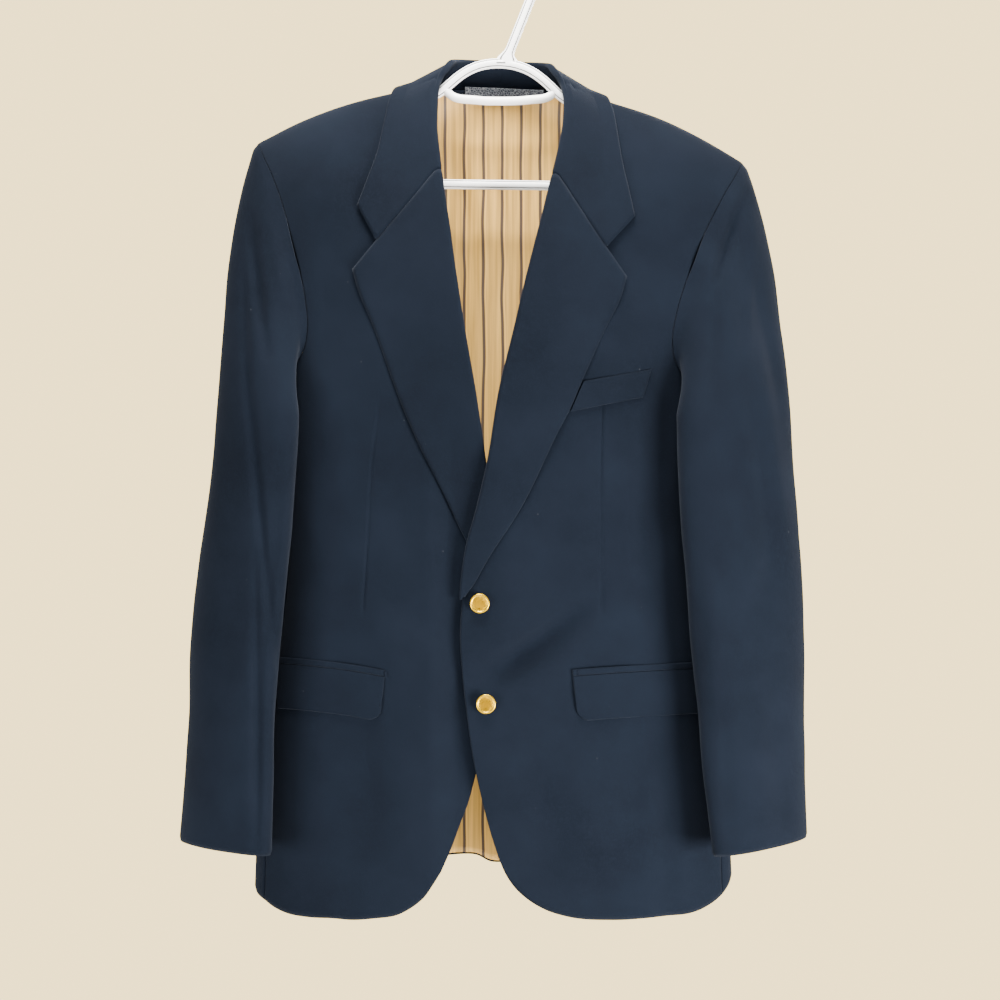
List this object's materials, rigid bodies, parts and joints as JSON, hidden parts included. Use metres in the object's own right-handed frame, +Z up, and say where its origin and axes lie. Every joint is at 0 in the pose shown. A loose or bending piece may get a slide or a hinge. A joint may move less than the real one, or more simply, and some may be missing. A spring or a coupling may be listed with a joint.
{
  "type": "single breasted blazer on a hanger",
  "caption": "Navy tailored blazer with notched lapels, flap pockets, a breast welt and metal buttons, hanging closed on a white tubular clothes hanger.",
  "frame": {"origin": "inner crown of the hanger's hook, where it rests on a rail", "axes": "+Z up, the fronts face -Y, and +X is towards the wearer's left"},
  "size_m": [0.637, 0.143, 0.9836],
  "materials": {
    "wool_cloth": "matt woven wool",
    "lining": "satin, with fine dark stripes",
    "woven_label": "woven, left bare",
    "button_metal": "polished",
    "hanger_plastic": "gloss"
  },
  "bodies": {
    "root": {"front_left": "wool_cloth", "front_right": "wool_cloth", "side_left": "wool_cloth", "side_right": "wool_cloth", "back_left": "wool_cloth", "back_right": "wool_cloth", "collar": "wool_cloth", "lapel_left": "wool_cloth", "lapel_right": "wool_cloth", "top_sleeve_left": "wool_cloth", "top_sleeve_right": "wool_cloth", "under_sleeve_left": "wool_cloth", "under_sleeve_right": "wool_cloth", "jet_left": "wool_cloth", "jet_right": "wool_cloth", "flap_left": "wool_cloth", "flap_right": "wool_cloth", "breast_welt": "wool_cloth", "lining_back": "lining", "neck_label": "woven_label", "button_upper": "button_metal", "button_lower": "button_metal", "hanger_frame": "hanger_plastic", "hanger_neck_bar": "hanger_plastic", "hanger_hook": "hanger_plastic"}
  },
  "joints": []
}
